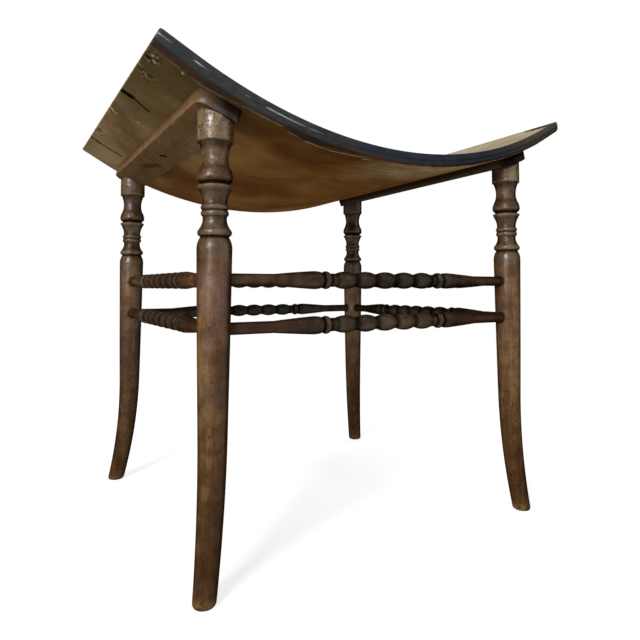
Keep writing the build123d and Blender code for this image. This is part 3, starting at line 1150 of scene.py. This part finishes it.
@dataclass
class Corner:
    """A corner of the board's section, which changes from row to row, and the zones it lies in."""

    y: Array
    radius: Array
    count: int
    wear: object = 0.0
    upper: float = 0.0
    paint: object = 0.0
    line: object = 0.0

    def values(self) -> tuple:
        """Y, radius, wear, upper, paint and line."""
        return self.y, self.radius, self.wear, self.upper, self.paint, self.line

    def towards(self, following: "Corner") -> list[Array]:
        """Even points from this corner towards the next, without the next.

        Args:
            following: The next corner.

        Returns:
            Y, radius, wear, upper, paint and line, each of rows and points.
        """
        share = (np.arange(self.count) / self.count)[None, :]
        spread = np.ones_like(self.y * share)
        pairs = zip(self.values(), following.values())
        return [(here * (1 - share) + there * share) * spread for here, there in pairs]


@dataclass
class DishedBoard:
    """The dished board: a section of its edges carried along the arc."""

    dish: Dish
    depth: float = 0.364
    face: float = 0.0055
    lean: float = 0.0014
    bevel_height: float = 0.0022
    end: float = 0.0106
    thinning: float = 0.045
    corner: float = 0.0025
    arris: float = 0.0005
    tip: float = 0.0006
    worn_band: float = 0.0006
    paint_places: tuple[float, ...] = (-0.23, -0.09, -0.05, 0.0, 0.23)
    paint_shares: tuple[float, ...] = (0.9, 0.8, 0.45, 0.7, 0.9)
    line_places: tuple[float, ...] = (-0.23, -0.18, -0.12, -0.02, 0.05)
    line_shares: tuple[float, ...] = (0.0, 0.4, 1.0, 0.9, 0.0)
    rubbed_places: Pair = (-0.13, -0.04)
    corner_from: float = 0.13
    corner_fade: float = 0.04
    corner_paint: Pair = (1.5, 0.014)
    end_paint: Pair = (1.2, 0.003)
    edge_paint: Pair = (1.0, 0.0035)
    chipped: Pair = (1.4, 0.0014)
    rim_share: float = 0.9
    end_share: float = 0.3
    edge_share: float = 0.8
    bevel_knee: Pair = (0.8, 0.2)
    knee_paint: float = 0.45
    back_paint: float = 0.9
    rows: int = 260
    bevel: tuple[Pair, ...] = (
        (-0.23, 0.011),
        (-0.185, 0.014),
        (-0.169, 0.0115),
        (-0.149, 0.0046),
        (-0.119, 0.0037),
        (-0.113, 0.0083),
        (-0.096, 0.0125),
        (-0.072, 0.0132),
        (-0.054, 0.008),
        (-0.037, 0.0037),
        (0.0, 0.0025),
        (0.23, 0.0025),
    )

    def build(self) -> bpy.types.Object:
        """Carries the section along the arc, thinned and rounded towards the ends.

        Returns:
            The board, with its zones named at its points.
        """
        half_angle = self.dish.bend + self.dish.flat / self.dish.radius
        inset = self.corner * (1 - np.cos(np.linspace(0, np.pi / 2, 9)))[:-1]
        ends = half_angle - inset / self.dish.radius
        middle = np.linspace(-ends[-1], ends[-1], self.rows)
        angle = np.concatenate([-ends, middle[1:-1], ends[::-1]])[:, None]
        gone = (half_angle - np.abs(angle)) * self.dish.radius
        section = self.section(angle, gone, self.thickness(angle, half_angle))
        loop = zip(section, section[1:] + section[:1])
        stack = zip(*(corner.towards(following) for corner, following in loop))
        y, radius, wear, upper, paint, line = (np.concatenate(parts, axis=1) for parts in stack)
        top = upper > 0.9
        under = upper < 0.5
        near = np.clip((-y - self.corner_from) / self.corner_fade, 0, 1)
        rim = fading(gone, *self.corner_paint) * near
        rim = np.maximum(rim, fading(gone, *self.end_paint) * self.end_share)
        paint = np.where(top, rim * self.rim_share, np.maximum(paint, 0))
        edge = fading(self.half_depth(gone) + y, *self.edge_paint) * top
        paint = np.maximum(paint, edge * self.edge_share)
        chipped = fading(gone, *self.chipped) * (angle < 0) * under
        values = {"wear": wear, "upper": upper, "paint": paint, "line": line, "chipped": chipped}
        return surface("dished_board", self.dish.at(angle, radius, y), values)

    def half_depth(self, gone: Array) -> Array:
        """Half the board's depth at a distance from its end, where its corners are round."""
        curve = fading(gone, 1, self.corner)
        return self.depth / 2 - self.corner * (1 - np.sqrt(1 - curve**2))

    def section(self, angle: Array, gone: Array, thick: Array) -> list[Corner]:
        """The corners of the board's section, from the top's front arris down and round to the top.

        Args:
            angle: The rows' angles about the dish's axis.
            gone: Their distances from the board's end.
            thick: The board's thickness there.

        Returns:
            The corners, in order.
        """
        at_x = self.dish.at(angle, self.dish.radius, 0.0)[..., 0]
        worn = np.interp(at_x, *zip(*self.bevel))
        bevelled = np.interp(at_x, self.paint_places, self.paint_shares)
        split = np.interp(at_x, self.line_places, self.line_shares)
        rubbed = np.interp(at_x, self.rubbed_places, (1.0, 0.0))
        tip = fading(gone, 1, self.tip) * self.tip
        top = self.dish.radius + tip
        bottom = self.dish.radius + thick - tip
        rise = self.bevel_height * thick / self.dish.board
        low = self.dish.radius + self.face * thick / self.dish.board
        cut, band = self.arris, self.worn_band
        back = self.half_depth(gone)
        front = -back
        bevel = front + self.lean
        inner = bevel + worn
        along, down = self.bevel_knee
        return [
            Corner(front + cut, top, 1, upper=1, paint=1),
            Corner(front, top + cut, 3, paint=1),
            Corner(front, low - band, 1, paint=1),
            Corner(front, low - cut, 1, rubbed, paint=1),
            Corner(front + cut / 3, low + cut, 1, rubbed, paint=1),
            Corner(front + self.lean / 3, low + band, 3, paint=1),
            Corner(bevel, bottom - rise, 4, paint=bevelled),
            Corner(bevel + worn * along, bottom - rise * down, 2, paint=bevelled * self.knee_paint),
            Corner(inner, bottom, 1, split),
            Corner(inner + band, bottom, 1, line=split),
            Corner(inner + 2 * band, bottom, 110),
            Corner(back - 3 * band, bottom, 2),
            Corner(back - cut, bottom, 1, paint=self.back_paint),
            Corner(back, bottom - cut, 6, paint=1),
            Corner(back, top + 2 * cut, 1, paint=1),
            Corner(back, top + cut, 1, upper=1),
            Corner(back - cut, top, 1, upper=1, paint=1),
            Corner(back - 3 * cut, top, 100, upper=1, paint=1),
            Corner(front + 3 * cut, top, 1, upper=1, paint=1),
        ]

    def thickness(self, angle: Array, half_angle: float) -> Array:
        """Thickness of the board, which thins evenly over a stretch up to each end.

        Args:
            angle: The rows' angles about the dish's axis.
            half_angle: The angle of the board's end.

        Returns:
            The thickness at each row.
        """
        near = half_angle - self.thinning / self.dish.radius
        share = np.clip((np.abs(angle) - near) / (half_angle - near), 0, 1)
        return self.dish.board - (self.dish.board - self.end) * share


@dataclass
class Batten:
    """A bearer bent to the underside of the board, with rounded corners and lower arris."""

    node: str
    side: int
    dish: Dish
    width: float = 0.037
    length: float = 0.338
    outer_round: float = 0.012
    inner_round: float = 0.004
    least_round: float = 0.0002
    arris: float = 0.0012
    lean: float = 0.0012
    middle: float = 0.0001
    end_dark: float = 0.015
    # outer_dark and least_dark are painted shade on the ends, deepest on the inner side
    outer_dark: float = 0.85
    least_dark: float = 0.6
    arris_wear: tuple[float, ...] = (0.3, 0.8, 1.0, 0.8, 0.3)
    quarter_points: int = 13
    side_counts: tuple[int, ...] = (60, 8, 60, 8)

    def loop(self, inset: float) -> Array:
        """The plan's outline at an inset: a rectangle with a quarter circle at each corner.

        Args:
            inset: How far the outline is drawn in, in metres.

        Returns:
            Rows of distance across the batten and along it.
        """
        across, along = self.width / 2 - inset, self.length / 2 - inset
        outer, inner = (max(size - inset, self.least_round) for size in (self.outer_round, self.inner_round))
        swing = np.linspace(0, np.pi / 2, self.quarter_points)
        arcs = []
        corners = ((1, -1, outer), (1, 1, outer), (-1, 1, inner), (-1, -1, inner))
        for quarter, (side, end, radius) in enumerate(corners):
            angle = (quarter - 1) * np.pi / 2 + swing
            x = side * (across - radius) + radius * np.cos(angle)
            arcs.append(np.column_stack([x, end * (along - radius) + radius * np.sin(angle)]))
        parts = []
        for here, there, count in zip(arcs, arcs[1:] + arcs[:1], self.side_counts):
            share = np.linspace(0, 1, count + 1)[1:-1, None]
            parts += [here, here[-1] * (1 - share) + there[0] * share]
        return np.vstack(parts)

    def build(self) -> bpy.types.Object:
        """Stacks the outline's loops from the board down, round the arris and in to the middle.

        Returns:
            The batten.
        """
        centre = np.arcsin(LEG_X / self.dish.under)
        turn = np.linspace(0, np.pi / 2, 6)
        inmost = self.width / 2 - self.middle
        face = np.linspace(self.arris, inmost, 8)[1:]
        insets = [inmost, 0.0, *(self.arris * (1 - np.cos(turn))), *face]
        levels = [0.0, 0.0, *(self.dish.bearer - self.arris * (1 - np.sin(turn)))]
        levels += [self.dish.bearer] * len(face)
        loops = np.stack([self.loop(inset) for inset in insets])
        level = np.array(levels)[:, None]
        outward = np.clip(loops[..., 0] / (self.width / 2), 0, 1)
        across = loops[..., 0] + outward * self.lean * (1 - 2 * level / self.dish.bearer)
        angle = self.side * (centre + across / self.dish.under)
        points = self.dish.at(angle, self.dish.under + level, loops[..., 1])
        ends = np.clip((np.abs(loops[..., 1]) - self.length / 2 + self.end_dark) / self.end_dark, 0, 1)
        # Painted shade: the ends darken further towards the inner side, on top of the darker end grain
        ends = ends * np.clip(self.outer_dark - loops[..., 0] / self.width, self.least_dark, 1)
        wear = np.zeros(len(insets))
        wear[3:8] = self.arris_wear
        if self.side < 0:
            points, ends = points[:, ::-1], ends[:, ::-1]
        return surface(self.node, points, {"hollow": ends, "wear": wear[:, None] * (1 - ends)})


@dataclass
class Studio:
    """The floor, the lights and the camera."""

    camera_place: Triple = (-0.3207, -0.5716, 0.2407)
    yaw: float = 0.5359
    pitch: float = 0.0527
    focal_pixels: float = 549.76
    frame_pixels: float = 640.0
    centre_row: float = 256.92
    sensor: float = 36.0
    nearest: float = 0.01
    white: Tone = (1.0, 1.0, 1.0, 1.0)
    ambient: Tone = (1.0, 0.97, 0.93, 1.0)
    ambient_power: float = 0.22
    floor_grey: Tone = (0.52, 0.52, 0.52, 1.0)
    floor_reach: float = 9.0
    floor_lift: float = 0.73
    floor_fade: Pair = (0.5, 1.6)
    lamps: tuple = (
        ("Window", (-2.1, -1.5, 1.3), (0, 0, 0.3), (0.75, 1.4), 78.0, (0.96, 0.95, 1.0)),
        ("Fill", (1.8, -1.6, 1.2), (0, 0, 0.2), (1.6, 1.6), 2.0, (1.0, 0.95, 0.88)),
        ("Sky", (0.2, 0.1, 2.2), (0, 0, 0.3), (1.8, 1.8), 20.0, (1.0, 1.0, 1.0)),
    )

    def camera(self) -> None:
        """Places the camera as the photograph's, with a small shift for its off-centre framing."""
        data = bpy.data.cameras.new("Camera")
        data.sensor_width = self.sensor
        data.lens = self.focal_pixels / self.frame_pixels * self.sensor
        data.shift_y = (self.centre_row - self.frame_pixels / 2) / self.frame_pixels
        data.clip_start = self.nearest
        camera = bpy.data.objects.new("Camera", data)
        camera.location = self.camera_place
        camera.rotation_euler = (np.pi / 2 + self.pitch, 0, -self.yaw)
        bpy.context.scene.collection.objects.link(camera)
        bpy.context.scene.camera = camera

    def lamp(self, name: str, place: tuple, aim: tuple, size: Pair, power: float, colour: tuple) -> None:
        """Adds a soft rectangular lamp.

        Args:
            name: The lamp's name.
            place, aim: Where it is, and the point that it faces.
            size: Its width and height, in metres.
            power: Its power in watts.
            colour: Its linear colour.
        """
        data = bpy.data.lights.new(name, "AREA")
        data.shape = "RECTANGLE"
        data.size, data.size_y = size
        data.energy = power
        data.color = colour
        lamp = bpy.data.objects.new(name, data)
        lamp.location = place
        away = np.array(place, float) - np.array(aim, float)
        flat = np.hypot(away[0], away[1])
        lamp.rotation_euler = (np.arctan2(flat, away[2]), 0, np.arctan2(away[0], -away[1]))
        bpy.context.scene.collection.objects.link(lamp)

    def world(self) -> None:
        """White where the camera or a gloss sees it, and a plain soft grey on the object."""
        world = bpy.data.worlds.new("World")
        world.use_nodes = True
        graph = Graph(world.node_tree)
        soft = graph.field("Background", 0, {"Color": self.ambient, "Strength": self.ambient_power})
        white = graph.field("Background", 0, {"Color": self.white, "Strength": 1.0})
        shown = graph.field("MixShader", 0, {0: graph.seen(), 1: soft, 2: white})
        graph.node("OutputWorld", {"Surface": shown})
        bpy.context.scene.world = world

    def floor(self) -> None:
        """A wide pale floor that keeps the shadow, and fades to the background's white far off."""
        mesh = bpy.data.meshes.new("Floor")
        corners = ((-1, -1), (1, -1), (1, 1), (-1, 1))
        vertices = [(x * self.floor_reach, y * self.floor_reach, 0) for x, y in corners]
        mesh.from_pydata(vertices, [], [(0, 1, 2, 3)])
        floor = bpy.data.objects.new("Floor", mesh)
        graph = MaterialGraph("floor")
        graph.set("Base Color", self.floor_grey)
        graph.set("Roughness", 1.0)
        graph.set("Specular IOR Level", 0.0)
        glow = graph.field("Emission", 0, {"Strength": self.floor_lift})
        lifted = graph.field("AddShader", 0, {0: graph.whole, 1: glow})
        white = graph.field("Emission", 0, {"Strength": 1.0})
        far = graph.vector("LENGTH", "Value", {0: graph.place}).fit(*self.floor_fade)
        faded = graph.field("MixShader", 0, {0: far, 1: lifted, 2: white})
        chosen = graph.field("MixShader", 0, {0: graph.seen(), 1: graph.whole, 2: faded})
        graph.feed(graph.output.inputs["Surface"], chosen)
        mesh.materials.append(graph.material)
        bpy.context.scene.collection.objects.link(floor)

    def build(self) -> None:
        """Makes the studio, with plain colour output."""
        self.floor()
        self.world()
        for row in self.lamps:
            self.lamp(*row)
        self.camera()
        bpy.context.scene.view_settings.view_transform = "Standard"


LEG_WOOD = StainedWood(
    tones((58, 36, 16), (89, 60, 30), (130, 101, 58)),
    tone(18, 10, 6),
    rough=(0.19, 0.35),
    shine=0.4,
    spots=0.7,
    tint=(0.97, 0.88, 0.9, 1.0),
    stain=(0.5, 0.54, 0.64, 1.0),
    smoked=0.85,
    cove_highlight=0.1,
)
PALE_LEG = replace(LEG_WOOD, faded=1.0, cove_highlight=0.9, painted_sheen_share=0.45, stain=(0.6, 0.53, 0.6, 1.0))
DARK_LEG = replace(LEG_WOOD, faded=1.0, cove_highlight=0.45, stain=(0.58, 0.56, 0.6, 1.0), bare_from=(-0.45, -0.1))
# Each leg is a lit or shaded copy: depth and foot are painted light and shade, darker towards the floor
LEG_WOODS = {
    "leg_front_left": replace(PALE_LEG, depth=0.78, foot=0.84),
    "leg_front_right": replace(DARK_LEG, depth=0.92, foot=0.92),
    "leg_back_left": replace(LEG_WOOD, depth=0.78, foot=0.65, faded=0.35),
    "leg_back_right": replace(LEG_WOOD, depth=0.74, foot=0.7, faded=0.2),
}
RAIL_WOOD = StainedWood(
    tones((30, 22, 15), (54, 41, 28), (92, 75, 54)), tone(8, 5, 3), shine=0.2, tint=(1.0, 0.92, 0.8, 1.0)
)
# Each rail's depth is painted light and shade: lighter on the left, darker at the back and on the right
RAIL_WOODS = {
    f"{name}_{level}": replace(RAIL_WOOD, grain=grain, depth=depth)
    for name, grain, painted_light_levels in (
        ("stretcher_front", Axis.X, (0.5, 0.8)),
        ("stretcher_back", Axis.X, (0.3, 0.18)),
        ("stretcher_left", Axis.Y, (1.3, 1.2)),
        ("stretcher_right", Axis.Y, (0.4, 0.34)),
    )
    for level, depth in zip(RAIL_HEIGHTS, painted_light_levels)
}
BATTEN_WOOD = StainedWood(
    tones((97, 73, 46), (116, 89, 58), (136, 111, 77)),
    tone(19, 10, 9),
    grain=Axis.Y,
    streaks=Mottle(70.0, 6.0, 0.62, bend=0.5),
    fine=Mottle(420.0, 3.0, 0.6),
    shine=0.9,
    spots=0.15,
    dulled=0.55,
    relief=0.2,
)
LEFT_NOTCHES = (
    ((-0.1720, 0.0024), (-0.1678, -0.0035), 0.0026, 0.95),
    ((-0.1732, 0.0653), (-0.1655, 0.0377), 0.0060, 0.5),
)
BATTEN_WOODS = {
    "batten_left": replace(BATTEN_WOOD, notches=LEFT_NOTCHES),
    # The right batten's low depth is painted shade
    "batten_right": replace(BATTEN_WOOD, depth=0.3, shine=0.15, tint=(1.0, 0.85, 0.6, 1.0)),
}
WEDGE_WOOD = StainedWood(tones((96, 68, 38), (128, 94, 58), (160, 122, 80)), tone(60, 40, 22))


def main() -> None:
    """Builds the stool's pieces in order, then the studio, and reports each piece."""
    logging.basicConfig(level=logging.INFO, format="%(name)s: %(message)s")
    dish = Dish()
    foot_reach, long_foot_reach, socket_stop = 0.0108, 0.0165, 0.0065
    stand_in(DishedBoard(dish).build(), "seat", SeatFinish().material("seat board"))
    for name, side in (("batten_left", -1), ("batten_right", 1)):
        wood = BATTEN_WOODS[name].material(f"{name} wood")
        stand_in(Batten(name, side, dish).build(), name, wood)
    for name, x, y, reach in (
        ("leg_front_left", -LEG_X, -LEG_Y, foot_reach),
        ("leg_front_right", LEG_X, -LEG_Y, foot_reach),
        ("leg_back_left", -LEG_X, LEG_Y, long_foot_reach),
        ("leg_back_right", LEG_X, LEG_Y, foot_reach),
    ):
        wood = LEG_WOODS[name].material(f"{name} wood")
        stand_in(TurnedLeg(name, x, y, reach, dish).build(), name, wood)
    for name, x, y in (
        ("stretcher_front", 0.0, -LEG_Y),
        ("stretcher_back", 0.0, LEG_Y),
        ("stretcher_left", -LEG_X, 0.0),
        ("stretcher_right", LEG_X, 0.0),
    ):
        half_span = (LEG_Y if x else LEG_X) - socket_stop
        for level, height in RAIL_HEIGHTS.items():
            node = f"{name}_{level}"
            rail = BobbinRail(node, (x, y, height), bool(x), half_span).build()
            wood = RAIL_WOODS[node].material(f"{name} {level} wood")
            stand_in(rail, node, wood)
    for node, finish, title in (
        ("batten_screws", DullSteel(), "dull steel"),
        ("tenon_wedges", WEDGE_WOOD, "wedge wood"),
    ):
        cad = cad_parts[node]
        cad.data.materials.clear()
        cad.data.materials.append(finish.material(title))
        LOG.info("%s keeps its solid", node)
    Studio().build()


if __name__ == "__main__":
    main()
